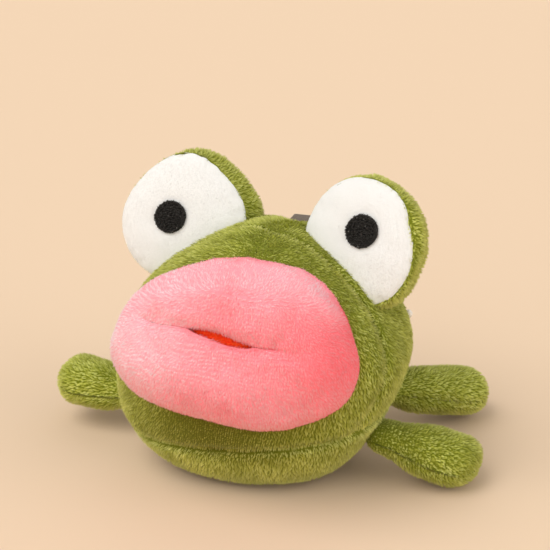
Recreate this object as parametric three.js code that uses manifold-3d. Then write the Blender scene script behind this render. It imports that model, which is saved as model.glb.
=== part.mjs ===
// A palm-sized plush frog: a round body, stitched-on lips, two eye pods, four flippers and a ribbon loop.
// Every cloth panel is its own thin solid, wrapped round the fibre filling that it holds.
// Millimetres, +Z up. The origin is on the table under the middle of the body, and the face looks along -Y.
import * as THREE from "three";
import { mergeVertices } from "three/addons/utils/BufferGeometryUtils.js";
import Module from "manifold-3d";

const wasm = await Module();
wasm.setup();

const radians = THREE.MathUtils.degToRad;

// Cloth and gaps
const plushThickness = 1.6; // knitted backing with its pile, green and pink
const velourThickness = 1.2; // short white cloth of the eyes
const seamGap = 0.3; // between two panels at their seam
const fillGap = 0.3; // between a panel and the filling behind it
const seatGap = 0.3; // between a piece and what it is sewn on

// Body: a soft ball that narrows to a ridge between the eyes and has settled on the table
const bodyWidth = 100;
const bodyFront = 41; // from the middle to the face
const bodyBack = 52; // from the middle to the back
const crownHeight = 86;
const girthHeight = 44; // where the body is widest
const bellyReach = 50; // from the girth to the belly before it settles
const settleBlend = 4; // how gently the belly rounds into its flat rest
const sectionPower = 2.3; // squareness of a level section
const crownSidePower = 1.6; // how the width fades towards the crown
const crownFrontPower = 2.1; // how the depth fades towards the crown
const bellyPower = 2.3; // how both fade towards the belly
const rowPower = 0.9; // how the mesh rows spread between the girth and the poles
const bellySeamHeight = 19;
const bellySeamTilt = radians(7); // the belly seam climbs towards the frog's left
const sideSeamLean = radians(18); // the seam from armpit to crown leans back
const sideSeamAhead = 22; // how far it lies ahead of the middle at the belly seam
const bellyShift = 4; // how far the belly has settled over to the frog's right
const bellyShiftReach = 28; // from the girth down to the full shift

// Lips: one pad on the front of the body, puckered in along a slit
const lipTurn = radians(59); // how far round the body the pad reaches on each side
const lipHeight = 50;
const lipMiddleHeight = 55;
const lipFlare = 0.05; // how much wider than its middle the pad is towards the frog's left
const lipPower = 2.6; // squareness of the pad's outline
const lipSwellPower = 2.5; // fullness of the pad's section
const lipThickness = 9.5;
const lipRoot = 5; // how deep the pad's back lies before the body cuts it away
const slitHeight = 60.5;
const slitTilt = radians(4); // the slit drops towards the frog's left
const slitWidth = 38;
const slitOpening = 3.6;
const puckerDepth = 5.5;
const puckerReach = 7.5; // how far above and below the slit the cloth dips in
const puckerTurn = radians(44); // how far round the body the dip reaches on each side
const liningThickness = 1;
const liningMargin = 3; // how far the mouth cloth reaches past the slit on every side

// Eye pods: a white face sewn to a fuller green back
const leftFaceRadius = 20.4;
const rightFaceRadius = 22;
const faceDome = 5;
const facePower = 2.2; // fullness of the dome's section
const podRim = 2.6; // how far the green back stands out past the white face
const podFlare = 7.5; // from the white face's seam back to that widest place
const podBack = 10; // from the widest place to the back of the pod
const podPower = 2.5; // fullness of the pod's section
const podSide = 32;
const podBehind = 6.7; // the white face's seam lies this far behind the body's middle
const podHeight = 81.6;
const podPitch = radians(22); // both pods lean back
const podToeIn = radians(7); // both faces turn towards each other
const podLean = 2; // how far a pod's back leans over towards the other pod
const pupilRadius = 5.6;
const pupilThickness = 0.7;
const pupilShift = 3; // from the white face's middle
const podStagger = 0.3; // one pod sits this much higher, and the other lower, than podHeight
const leftHeight = podHeight - podStagger;
const rightHeight = podHeight + podStagger;
const pods = [
  { name: "left", side: 1, faceRadius: leftFaceRadius, height: leftHeight, pupilLean: radians(28) },
  { name: "right", side: -1, faceRadius: rightFaceRadius, height: rightHeight, pupilLean: radians(85) },
];

// Flippers: paddles with a seam round the edge, sewn on at a rounded root
const frontFlipperLength = 30.5;
const rearFlipperLength = 41;
const rootRadius = 6; // half the root's thickness, a round about the hinge line
const rootWidth = 16;
const flipperWidth = 24;
const flipperThickness = 18;
const flareLength = 12; // from the root to the full thickness
const tipLength = 10; // length of the rounded end
const tipPower = 2.4;
const flipperPower = 2.1; // squareness of a flipper's section
const flipperSweep = 5; // how far the tip curves towards the frog's back
const frontLeftTurn = radians(91); // round the body from the face
const frontRightTurn = radians(97);
const rearFlipperTurn = radians(133);
const rearFlipperHeight = 19.6; // of the seam that holds it
const frontLeftHeight = 17.4;
const frontRightHeight = 17.4;
const frontLeftDroop = radians(14); // a flipper's slope below the level
const frontRightDroop = radians(0);
const rearDroop = radians(12);
const frontLeft = { height: frontLeftHeight, droop: frontLeftDroop, turn: frontLeftTurn };
const frontRight = { height: frontRightHeight, droop: frontRightDroop, turn: frontRightTurn };
const rear = { height: rearFlipperHeight, droop: rearDroop, turn: rearFlipperTurn };
const flippers = [
  { name: "front_left", side: 1, length: frontFlipperLength, ...frontLeft },
  { name: "front_right", side: -1, length: frontFlipperLength, ...frontRight },
  { name: "rear_left", side: 1, length: rearFlipperLength, ...rear },
  { name: "rear_right", side: -1, length: rearFlipperLength, ...rear },
];

// Ribbon loop behind the crown
const ribbonWidth = 7;
const ribbonThickness = 0.8;
const loopRise = 9; // from the hinge line to the top of the loop
const loopSlot = 0.8; // free width between the ribbon's two layers
const loopBehind = 40;
const loopAside = -2.5;
const loopLean = radians(84);

// Bead on the left flank
const beadRadius = 1.6;
const beadTurn = radians(131);
const beadHeight = 47.4;

// Mesh fineness
const bodyColumns = 40;
const bodyRows = 16;
const lipColumns = 28;
const lipRings = 7;
const slitSteps = 6;
const podColumns = 24;
const podBackSteps = 5;
const podFlareSteps = 3;
const podFaceSteps = 5;
const flipperColumns = 12;
const flipperRows = 10;
const ribbonSteps = 5;
const beadColumns = 10;
const beadRows = 6;
const circle = 2; // the power of a true round
const weldShare = 1e-6; // of the body's width, closer points are one
const probeShare = 1e-3; // of the crown's height, a short step along the skin

const curved = (value, power) => Math.sign(value) * Math.abs(value) ** power;
const rounded = (share, power) => Math.max(0, 1 - Math.abs(share) ** power) ** (1 / power);

// A grid of points closed into one skin: u runs once round, v from the first pole to the last
function closedSurface(columns, rows, pointAt) {
  const positions = [];
  const indices = [];
  for (let row = 0; row <= rows; row++)
    for (let column = 0; column < columns; column++)
      positions.push(...pointAt(column / columns, row / rows).toArray());
  for (let row = 0; row < rows; row++)
    for (let column = 0; column < columns; column++) {
      const here = row * columns + column;
      const beside = row * columns + ((column + 1) % columns);
      indices.push(here, beside, beside + columns, here, beside + columns, here + columns);
    }
  const geometry = new THREE.BufferGeometry();
  geometry.setAttribute("position", new THREE.Float32BufferAttribute(positions, 3));
  geometry.setIndex(indices);
  return geometry;
}

// A solid from a closed geometry, with shared vertices merged and collapsed triangles dropped
function solidOf(geometry) {
  const bare = geometry.clone();
  bare.deleteAttribute("normal");
  bare.deleteAttribute("uv");
  const merged = mergeVertices(bare, weldShare * bodyWidth);
  const corners = [...merged.index.array];
  const kept = [];
  for (let i = 0; i < corners.length; i += 3) {
    const [a, b, c] = corners.slice(i, i + 3);
    if (a !== b && b !== c && c !== a) kept.push(a, b, c);
  }
  return new wasm.Manifold(
    new wasm.Mesh({
      numProp: 3,
      vertProperties: new Float32Array(merged.attributes.position.array),
      triVerts: new Uint32Array(kept),
    }),
  );
}

function geometryOf(solid) {
  const mesh = solid.getMesh();
  const geometry = new THREE.BufferGeometry();
  geometry.setAttribute("position", new THREE.Float32BufferAttribute(mesh.vertProperties, 3));
  geometry.setIndex([...mesh.triVerts]);
  geometry.computeVertexNormals();
  return geometry;
}

const cutSize = 4 * bodyWidth;

// Everything on one side of a plane through a point, starting half a seam gap away from it
function beyond(point, normal) {
  const box = new THREE.BoxGeometry(cutSize, cutSize, cutSize);
  box.applyQuaternion(new THREE.Quaternion().setFromUnitVectors(new THREE.Vector3(0, 0, 1), normal));
  box.translate(...point.clone().addScaledVector(normal, (cutSize + seamGap) / 2).toArray());
  return solidOf(box);
}

const bothSides = (point, normal) => [beyond(point, normal), beyond(point, normal.clone().negate())];

const cloth = (color, roughness) => new THREE.MeshStandardMaterial({ color, roughness, metalness: 0 });
const greenPlush = cloth(0x8d9a3d, 0.95);
const pinkPlush = cloth(0xfb97a3, 0.95);
const mouthCloth = cloth(0xf5401a, 0.95);
const whiteVelour = cloth(0xf5f3ee, 0.9);
const blackThread = cloth(0x1a1b1d, 0.75);
const brownRibbon = cloth(0x5b4c43, 0.8);
const fibreFilling = cloth(0xf2f0ea, 1);
const pearl = cloth(0xefe6da, 0.3);

const frog = new THREE.Group();

function add(name, solid, material, parent = frog) {
  const mesh = new THREE.Mesh(geometryOf(solid), material);
  mesh.name = name;
  parent.add(mesh);
}

// A height that rounds off softly above a floor instead of passing through it
function settled(height, floor) {
  if (height > floor + settleBlend) return height;
  return floor + Math.max(0, height - floor + settleBlend) ** 2 / (4 * settleBlend);
}

// The body's skin at a turn from the face towards +X and an unsettled height
function bodyAt(turn, height, grow = 0) {
  const above = height > girthHeight;
  const reach = (above ? crownHeight - girthHeight : bellyReach) + grow;
  const share = Math.min(1, Math.abs(height - girthHeight) / reach);
  const across = (bodyWidth / 2 + grow) * rounded(share, above ? crownSidePower : bellyPower);
  const half = Math.cos(turn) > 0 ? bodyFront : bodyBack;
  const along = (half + grow) * rounded(share, above ? crownFrontPower : bellyPower);
  const [sine, cosine] = [Math.sin(turn), Math.cos(turn)];
  const sum = Math.abs(sine / across) ** sectionPower + Math.abs(cosine / along) ** sectionPower;
  const radius = share < 1 ? sum ** (-1 / sectionPower) : 0;
  const shift = bellyShift * THREE.MathUtils.smoothstep(girthHeight - height, 0, bellyShiftReach);
  return new THREE.Vector3(radius * sine - shift, -radius * cosine, settled(height, -grow));
}

// The outward direction of the skin there, from two short steps along it
function bodyNormal(turn, height) {
  const step = probeShare * crownHeight;
  const here = bodyAt(turn, height);
  const aside = bodyAt(turn + step / bodyWidth, height).sub(here);
  const above = bodyAt(turn, height + step).sub(here);
  return aside.cross(above).normalize();
}

function bodyGeometry(grow, columns = bodyColumns, rows = bodyRows) {
  return closedSurface(columns, rows, (u, v) => {
    const rise = Math.sin((v - 0.5) * Math.PI);
    const up = curved(rise, rowPower);
    const reach = up > 0 ? crownHeight - girthHeight : bellyReach;
    return bodyAt(u * 2 * Math.PI, girthHeight + (reach + grow) * up, grow);
  });
}

const bodySeat = bodyGeometry(seatGap);

// Four panels and a belly round one filling
function buildBody() {
  const skin = solidOf(bodyGeometry(0)).subtract(solidOf(bodyGeometry(-plushThickness)));
  const bellySeam = new THREE.Vector3(0, 0, bellySeamHeight);
  const bellyNormal = new THREE.Vector3(-Math.sin(bellySeamTilt), 0, Math.cos(bellySeamTilt));
  const sideSeam = new THREE.Vector3(0, -sideSeamAhead, bellySeamHeight);
  const sideNormal = new THREE.Vector3(0, -Math.cos(sideSeamLean), Math.sin(sideSeamLean));
  const [above, below] = bothSides(bellySeam, bellyNormal);
  const [front, back] = bothSides(sideSeam, sideNormal);
  const [left, right] = bothSides(new THREE.Vector3(), new THREE.Vector3(1, 0, 0));
  for (const [name, end] of [["front", front], ["back", back]]) {
    const half = skin.intersect(above).intersect(end);
    add(`${name}_left_panel`, half.intersect(left), greenPlush);
    add(`${name}_right_panel`, half.intersect(right), greenPlush);
  }
  add("belly_panel", skin.intersect(below), greenPlush);
  const filling = bodyGeometry(-plushThickness - fillGap, bodyColumns / 2, bodyRows / 2);
  add("body_filling", solidOf(filling), fibreFilling);
}

// The pad's skin: share runs from its middle to its outline, inset lies inside the cloth
function lipPoint(angle, share, inFront, inset) {
  const reach = share * (1 - (2 * inset) / lipHeight);
  const turn = lipTurn * reach * curved(Math.cos(angle), 2 / lipPower);
  const tall = (lipHeight / 2) * (1 + (lipFlare * turn) / lipTurn);
  const height = lipMiddleHeight + tall * reach * curved(Math.sin(angle), 2 / lipPower);
  const swell = rounded(share, lipSwellPower);
  const slit = slitHeight - bodyAt(turn, height).x * Math.tan(slitTilt);
  const dip = Math.exp(-(((height - slit) / puckerReach) ** 2)) * rounded(turn / puckerTurn, circle);
  const rise = inFront ? lipThickness - inset - puckerDepth * dip : -lipRoot;
  return bodyAt(turn, height).addScaledVector(bodyNormal(turn, height), rise * swell);
}

function lipSolid(inset) {
  const rows = 2 * lipRings;
  const geometry = closedSurface(lipColumns, rows, (u, v) => {
    const share = Math.sin(((1 - Math.abs(2 * v - 1)) * Math.PI) / 2);
    return lipPoint(u * 2 * Math.PI, share, v > 0.5, inset);
  });
  return solidOf(geometry);
}

// A level prism with the outline of the slit, pointed at both ends, through the front of the pad
function slitPrism(margin) {
  const half = slitWidth / 2 + margin;
  const lift = slitOpening / 2 + margin;
  const outline = new THREE.Shape();
  outline.moveTo(-half, 0);
  outline.quadraticCurveTo(0, -2 * lift, half, 0);
  outline.quadraticCurveTo(0, 2 * lift, -half, 0);
  const prism = new THREE.ExtrudeGeometry(outline, {
    depth: bodyWidth,
    bevelEnabled: false,
    curveSegments: slitSteps,
  });
  prism.rotateX(Math.PI / 2);
  prism.rotateY(slitTilt);
  prism.translate(0, 0, slitHeight);
  return solidOf(prism);
}

function buildLips() {
  const seat = solidOf(bodySeat);
  const inside = lipSolid(plushThickness);
  add("lip_cover", lipSolid(0).subtract(inside).subtract(slitPrism(0)).subtract(seat), pinkPlush);
  const liningFront = plushThickness + fillGap;
  const liningBack = liningFront + liningThickness;
  const lining = lipSolid(liningFront).subtract(lipSolid(liningBack));
  add("mouth_lining", lining.intersect(slitPrism(liningMargin)).subtract(seat), mouthCloth);
  const pocket = slitPrism(liningMargin + fillGap).subtract(lipSolid(liningBack + fillGap));
  add("lip_filling", lipSolid(liningFront).subtract(pocket).subtract(seat), fibreFilling);
}

// The pod's section, from its back round the flare and the seam to the middle of the white face,
// turned round once; the part behind the seam then leans over
function podGeometry(faceRadius, lean, grow, columns = podColumns) {
  const podRadius = faceRadius + podRim;
  const points = [];
  for (let i = 0; i <= podBackSteps; i++) {
    const angle = (i / podBackSteps) * (Math.PI / 2);
    const out = (podRadius + grow) * Math.sin(angle) ** (2 / podPower);
    points.push(new THREE.Vector2(out, -podFlare - (podBack + grow) * Math.cos(angle) ** (2 / podPower)));
  }
  for (let i = 1; i <= podFlareSteps; i++) {
    const angle = (i / podFlareSteps) * (Math.PI / 2);
    const out = faceRadius + podRim * Math.cos(angle) + grow;
    points.push(new THREE.Vector2(out, -podFlare * (1 - Math.sin(angle))));
  }
  for (let i = 1; i <= podFaceSteps; i++) {
    const share = 1 - i / podFaceSteps;
    const dome = (faceDome + grow) * rounded(share, facePower);
    points.push(new THREE.Vector2((faceRadius + grow) * share, dome));
  }
  points[0].x = 0;
  const geometry = new THREE.LatheGeometry(points, columns).rotateX(Math.PI);
  const places = geometry.attributes.position;
  for (let i = 0; i < places.count; i++) {
    const share = THREE.MathUtils.smoothstep(places.getY(i), 0, podFlare);
    places.setX(i, places.getX(i) + lean * share);
  }
  return geometry;
}

function buildPod({ name, side, faceRadius, height, pupilLean }) {
  const pod = new THREE.Group();
  pod.position.set(side * podSide, podBehind, height);
  pod.rotation.set(-podPitch, 0, -side * podToeIn, "ZYX");
  pod.updateMatrixWorld();
  frog.add(pod);
  const seat = solidOf(bodySeat.clone().applyMatrix4(pod.matrixWorld.clone().invert()));
  const solid = (grow, columns) => solidOf(podGeometry(faceRadius, -side * podLean, grow, columns));
  const skin = solid(0).subtract(solid(-velourThickness)).subtract(seat);
  const [face, back] = bothSides(new THREE.Vector3(), new THREE.Vector3(0, -1, 0));
  add(`${name}_eye_face`, skin.intersect(face), whiteVelour, pod);
  add(`${name}_eye_back`, skin.intersect(back), greenPlush, pod);
  const filling = solid(-velourThickness - fillGap, podColumns / 2);
  add(`${name}_eye_filling`, filling.subtract(seat), fibreFilling, pod);
  const patch = new THREE.CylinderGeometry(pupilRadius, pupilRadius, faceRadius, podColumns);
  const [out, up] = [pupilShift * Math.sin(pupilLean), pupilShift * Math.cos(pupilLean)];
  patch.translate(side * out, -faceRadius / 2 - seatGap, up);
  const raised = solid(seatGap + pupilThickness).subtract(solid(seatGap));
  add(`${name}_pupil`, raised.intersect(solidOf(patch)).subtract(seat), blackThread, pod);
}

// A flipper's skin: it starts as a round root about the hinge line and swells to a blunt paddle
function flipperPoint(u, v, length, grow) {
  const along = -(rootRadius + grow) + (length + rootRadius + 2 * grow) * ((1 - Math.cos(v * Math.PI)) / 2);
  const tip = rounded(Math.max(0, (along - length + tipLength) / (tipLength + grow)), tipPower);
  const flare = THREE.MathUtils.smoothstep(along, 0, flareLength);
  const spread = THREE.MathUtils.smoothstep(along, 0, length - tipLength);
  const root = along < 0 ? rounded(along / (rootRadius + grow), circle) : 1;
  const thick = (rootRadius + (flipperThickness / 2 - rootRadius) * flare + grow) * root * tip;
  const wide = (rootWidth / 2 + ((flipperWidth - rootWidth) / 2) * spread + grow) * tip;
  const angle = u * 2 * Math.PI;
  const sweep = flipperSweep * Math.max(0, along / length) ** 2;
  return new THREE.Vector3(
    along,
    wide * curved(Math.cos(angle), 2 / flipperPower) + sweep,
    thick * curved(Math.sin(angle), 2 / flipperPower),
  );
}

function flipperSolid(length, side, grow, columns = flipperColumns) {
  const geometry = closedSurface(columns, flipperRows, (u, v) => {
    const point = flipperPoint(u * side, v, length, grow);
    point.y *= side;
    return point;
  });
  return solidOf(geometry);
}

function buildFlipper({ name, side, length, height, droop, turn }) {
  const flipper = new THREE.Group();
  const normal = bodyNormal(side * turn, height);
  flipper.position.copy(bodyAt(side * turn, height).addScaledVector(normal, rootRadius + seatGap));
  flipper.rotation.order = "ZYX";
  flipper.rotation.z = Math.atan2(normal.y, normal.x);
  flipper.rotation.y = droop;
  frog.add(flipper);
  const inside = flipperSolid(length, side, -plushThickness);
  const skin = flipperSolid(length, side, 0).subtract(inside);
  const [top, under] = bothSides(new THREE.Vector3(), new THREE.Vector3(0, 0, 1));
  add(`${name}_flipper_top`, skin.intersect(top), greenPlush, flipper);
  add(`${name}_flipper_underside`, skin.intersect(under), greenPlush, flipper);
  const filling = flipperSolid(length, side, -plushThickness - fillGap, flipperColumns / 2);
  add(`${name}_flipper_filling`, filling, fibreFilling, flipper);
}

// A ribbon folded into a flat loop, with both ends sewn in at its round foot
function buildLoop() {
  const radius = loopSlot / 2 + ribbonThickness;
  const arch = (shape, reach) => {
    shape.moveTo(-reach, 0);
    shape.absarc(0, 0, reach, Math.PI, 2 * Math.PI, false);
    shape.lineTo(reach, loopRise - radius);
    shape.absarc(0, loopRise - radius, reach, 0, Math.PI, false);
    shape.lineTo(-reach, 0);
    return shape;
  };
  const outline = arch(new THREE.Shape(), radius);
  outline.holes.push(arch(new THREE.Path(), loopSlot / 2));
  const band = new THREE.ExtrudeGeometry(outline, {
    depth: ribbonWidth,
    bevelEnabled: false,
    curveSegments: ribbonSteps,
  });
  band.translate(0, 0, -ribbonWidth / 2);
  band.rotateX(Math.PI / 2);
  band.rotateZ(Math.PI / 2);
  const loop = new THREE.Group();
  const height = girthHeight + (crownHeight - girthHeight) * rounded(loopBehind / bodyBack, crownFrontPower);
  const normal = bodyNormal(Math.PI, height);
  loop.position.copy(bodyAt(Math.PI, height).addScaledVector(normal, radius + seatGap));
  loop.position.x = loopAside;
  loop.rotation.x = -loopLean;
  frog.add(loop);
  add("hang_loop", solidOf(band), brownRibbon, loop);
}

function buildBead() {
  const ball = new THREE.SphereGeometry(beadRadius, beadColumns, beadRows);
  const place = bodyAt(beadTurn, beadHeight);
  place.addScaledVector(bodyNormal(beadTurn, beadHeight), beadRadius + seatGap);
  ball.translate(...place.toArray());
  add("flank_bead", solidOf(ball), pearl);
}

buildBody();
buildLips();
pods.forEach(buildPod);
flippers.forEach(buildFlipper);
buildLoop();
buildBead();

export default frog;
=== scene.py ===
import math

import bmesh
import bpy
import numpy as np
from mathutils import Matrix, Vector


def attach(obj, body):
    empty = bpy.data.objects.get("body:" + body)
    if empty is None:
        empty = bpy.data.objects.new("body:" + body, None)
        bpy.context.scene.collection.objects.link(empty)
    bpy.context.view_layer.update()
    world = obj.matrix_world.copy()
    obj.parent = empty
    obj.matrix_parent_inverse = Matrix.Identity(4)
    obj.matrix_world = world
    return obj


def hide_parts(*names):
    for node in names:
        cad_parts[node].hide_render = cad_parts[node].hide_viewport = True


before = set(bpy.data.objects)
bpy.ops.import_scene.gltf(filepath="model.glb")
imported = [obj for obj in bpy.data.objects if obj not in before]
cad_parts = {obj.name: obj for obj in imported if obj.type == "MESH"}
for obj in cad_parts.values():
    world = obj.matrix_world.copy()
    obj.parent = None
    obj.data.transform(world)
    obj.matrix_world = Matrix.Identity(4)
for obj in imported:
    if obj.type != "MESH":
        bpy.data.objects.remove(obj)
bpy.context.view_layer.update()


# Body: short knitted green plush, cut as two front panels, two back panels and a belly.
# The panels are sewn right sides together, turned out and stuffed, so each swells between its seams
# and its pile stands out over them.

millimetre = 0.001
# the first of the random seeds of each group of pieces
body_seed, lip_seed, eye_seed, flipper_seed, filling_seed = 100, 200, 300, 400, 500
body_width, body_front, body_back = 100.0, 41.0, 52.0
crown_height, girth_height, belly_reach = 86.0, 44.0, 50.0
settle_blend = 4.0
belly_shift, belly_shift_reach = 4.0, 28.0
section_power, crown_side_power, crown_front_power, belly_power = 2.3, 1.6, 2.1, 2.3
backing_depth = 0.9  # the knitted backing lies this far under the tips of the pile
backing_thickness = 0.5

belly_tilt, side_tilt = math.radians(7), math.radians(18)
middle_lean = math.radians(2.7)  # the middle seam drifts to the toy's left as it climbs
# each seam lies in a plane: a point of it, and the way it faces
belly_seam = (np.array([0, 0, 19.0]), np.array([-math.sin(belly_tilt), 0, math.cos(belly_tilt)]))
side_seam = (np.array([0, -22.0, 19.0]), np.array([0, -math.cos(side_tilt), math.sin(side_tilt)]))
middle_seam = (np.zeros(3), np.array([math.cos(middle_lean), 0, -math.sin(middle_lean)]))


def bent(value, power):
    return np.sign(value) * np.abs(value) ** power


def rounded(share, power):
    return np.maximum(0, 1 - np.abs(share) ** power) ** (1 / power)


def unit(vectors):
    return vectors / np.maximum(np.linalg.norm(vectors, axis=-1, keepdims=True), 1e-12)


def smooth(value, low, high):
    share = np.clip((value - low) / (high - low), 0, 1)
    return share * share * (3 - 2 * share)


def bell(distance, reach, power=2):
    """1 at no distance, falling softly to nothing over the reach."""
    return np.exp(-((distance / reach) ** power))


def shift_at(height):
    """How far the settled body has moved over to the toy's right at a height."""
    return belly_shift * smooth(girth_height - height, 0, belly_shift_reach)


def body_at(turn, height, grow=0.0):
    """Points of the body's skin, at turns from the face towards the toy's left and at unsettled heights."""
    turn, height = np.broadcast_arrays(np.asarray(turn, float), np.asarray(height, float))
    above = height > girth_height
    reach = np.where(above, crown_height - girth_height, belly_reach) + grow
    share = np.minimum(0.99999, np.abs(height - girth_height) / reach)
    below = rounded(share, belly_power)
    across = (body_width / 2 + grow) * np.where(above, rounded(share, crown_side_power), below)
    half = np.where(np.cos(turn) > 0, body_front, body_back) + grow
    along = half * np.where(above, rounded(share, crown_front_power), below)
    total = np.abs(np.sin(turn) / across) ** section_power + np.abs(np.cos(turn) / along) ** section_power
    radius = total ** (-1 / section_power)
    lift = height + grow
    settled = -grow + np.maximum(0, lift + settle_blend) ** 2 / (4 * settle_blend)
    rest = np.where(lift > settle_blend, height, settled)
    return np.stack([radius * np.sin(turn) - shift_at(height), -radius * np.cos(turn), rest], -1)


def body_normal(turn, height):
    step = 0.05
    here = body_at(turn, height)
    aside = body_at(turn + step / body_width, height) - here
    over = body_at(turn, height + step) - here
    return unit(np.cross(aside, over))


def turn_of(points):
    """The turn from the face at which points lie."""
    return np.arctan2(points[:, 0] + shift_at(points[:, 2]), -points[:, 1])


def outside_body(points):
    """How far points lie outside the body's skin, measured level; negative inside."""
    skin = body_at(turn_of(points), np.clip(points[:, 2], 0.5, crown_height - 0.01))
    shift = shift_at(points[:, 2])
    gap = np.hypot(points[:, 0] + shift, points[:, 1]) - np.hypot(skin[:, 0] + shift, skin[:, 1])
    well_clear = 10.0
    return np.where(points[:, 2] > crown_height, well_clear, gap)


def ring_faces(first, second, columns):
    """Faces between two rows of points that start at first and second and close round."""
    faces = []
    for column in range(columns):
        beside = (column + 1) % columns
        faces.append((first + column, first + beside, second + beside, second + column))
    return faces


def band_faces(rows, columns, first=0, turned=False):
    """Faces between all of some rows of points, one after the other."""
    faces = []
    for row in range(rows - 1):
        start = first + row * columns
        faces += ring_faces(start, start + columns, columns)
    return [face[::-1] for face in faces] if turned else faces


def closed_grid(columns, rows, point_at):
    """A skin closed round in u and at both ends of v, as points and faces."""
    u, v = np.meshgrid(np.arange(columns) / columns, np.arange(1, rows) / rows)
    body = point_at(u.ravel(), v.ravel())
    ends = point_at(np.array([0.0, 0.0]), np.array([0.0, 1.0]))
    faces = band_faces(rows - 1, columns)
    last = (rows - 2) * columns
    for column in range(columns):
        beside = (column + 1) % columns
        faces.append((len(body), beside, column))
        faces.append((last + column, last + beside, len(body) + 1))
    return np.vstack([body, ends]), faces


def angles_round(count):
    """Evenly spread angles, once round."""
    return np.arange(count) / count * 2 * math.pi


def fan_faces(columns):
    """Faces from the first point to the ring of points that follows it."""
    return [(0, 1 + column, 1 + (column + 1) % columns) for column in range(columns)]


def disc_points(radii, turn):
    """Two flat coordinates of a middle point and of the rings of points round it."""
    return (np.append(0.0, (radii * way(turn)).ravel()) for way in (np.cos, np.sin))


def in_scene(name, data):
    """A new object in the scene for a mesh, light or camera."""
    obj = bpy.data.objects.new(name, data)
    bpy.context.collection.objects.link(obj)
    return obj


def mesh_object(name, points, faces):
    mesh = bpy.data.meshes.new(name)
    faces = [tuple(int(i) for i in face) for face in faces]
    mesh.from_pydata((np.asarray(points) * millimetre).tolist(), [], faces)
    mesh.validate()
    mesh.update()
    return in_scene(name, mesh)


def arrays_of(obj):
    """Points in millimetres, triangles and normals at the points, with the modifiers' work in them."""
    seen = obj.evaluated_get(bpy.context.evaluated_depsgraph_get())
    mesh = seen.to_mesh()
    mesh.calc_loop_triangles()

    def read_out(items, key, kind=float):
        values = np.empty(len(items) * 3, kind)
        items.foreach_get(key, values)
        return values.reshape(-1, 3)

    points, normals = (read_out(mesh.vertices, key) for key in ("co", "normal"))
    triangles = read_out(mesh.loop_triangles, "vertices", np.int32)
    seen.to_mesh_clear()
    return points / millimetre, triangles, normals


def reshape(obj, points):
    obj.data.vertices.foreach_set("co", (points * millimetre).ravel())
    obj.data.update()
    return arrays_of(obj)


def lined(points, triangles, normals, thickness):
    """The cloth as a closed sheet: the same skin again a thickness further in, joined along its edges."""
    inner = points - normals * thickness
    edges = np.vstack([triangles[:, [0, 1]], triangles[:, [1, 2]], triangles[:, [2, 0]]])
    pairs = {tuple(edge) for edge in edges.tolist()}
    rim = np.array([edge for edge in edges.tolist() if (edge[1], edge[0]) not in pairs], int).reshape(-1, 2)
    shift = len(points)
    walls = np.vstack([
        np.stack([rim[:, 1], rim[:, 0], rim[:, 0] + shift], 1),
        np.stack([rim[:, 1], rim[:, 0] + shift, rim[:, 1] + shift], 1),
    ])
    skins = np.vstack([triangles, triangles[:, ::-1] + shift, walls])
    return np.vstack([points, inner]), skins, np.vstack([normals, -normals])


def drift(points, size, draws, waves=7):
    """A soft wandering value between about -1 and 1 that changes over the given size."""
    headings = unit(draws.normal(size=(waves, 3)))
    phases = draws.uniform(0, 2 * math.pi, waves)
    evened_out = np.sin(points @ headings.T * (2 * math.pi / size) + phases).mean(1)
    return evened_out * 1.8


def drifts(points, draws, *waves):
    """Several drifts laid over each other, each with its strength and size."""
    return sum(strength * drift(points, size, draws) for strength, size in waves)


def seeds_on(points, triangles, normals, density, draws):
    """Evenly spread places on the skin, with the normals there."""
    a, b, c = (points[triangles[:, k]] for k in range(3))
    areas = np.linalg.norm(np.cross(b - a, c - a), axis=1) / 2
    ends = np.cumsum(areas)
    count = int(ends[-1] * density)
    picks = np.searchsorted(ends, (np.arange(count) + draws.random(count)) * ends[-1] / count)
    picks = np.minimum(picks, len(triangles) - 1)
    first, second = draws.random(count), draws.random(count)
    fold = first + second > 1
    first, second = np.where(fold, 1 - first, first), np.where(fold, 1 - second, second)
    weights = np.stack([1 - first - second, first, second], 1)
    corners = triangles[picks]
    places = (points[corners] * weights[:, :, None]).sum(1)
    facing = unit((normals[corners] * weights[:, :, None]).sum(1))
    return places, facing


def swirled(nap, facing, angle):
    """The nap laid on the skin and turned by an angle in it."""
    nap = unit(nap - facing * (nap * facing).sum(1, keepdims=True))
    angle = np.broadcast_to(angle, len(nap))[:, None]
    return nap * np.cos(angle) + np.cross(facing, nap) * np.sin(angle)


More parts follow.
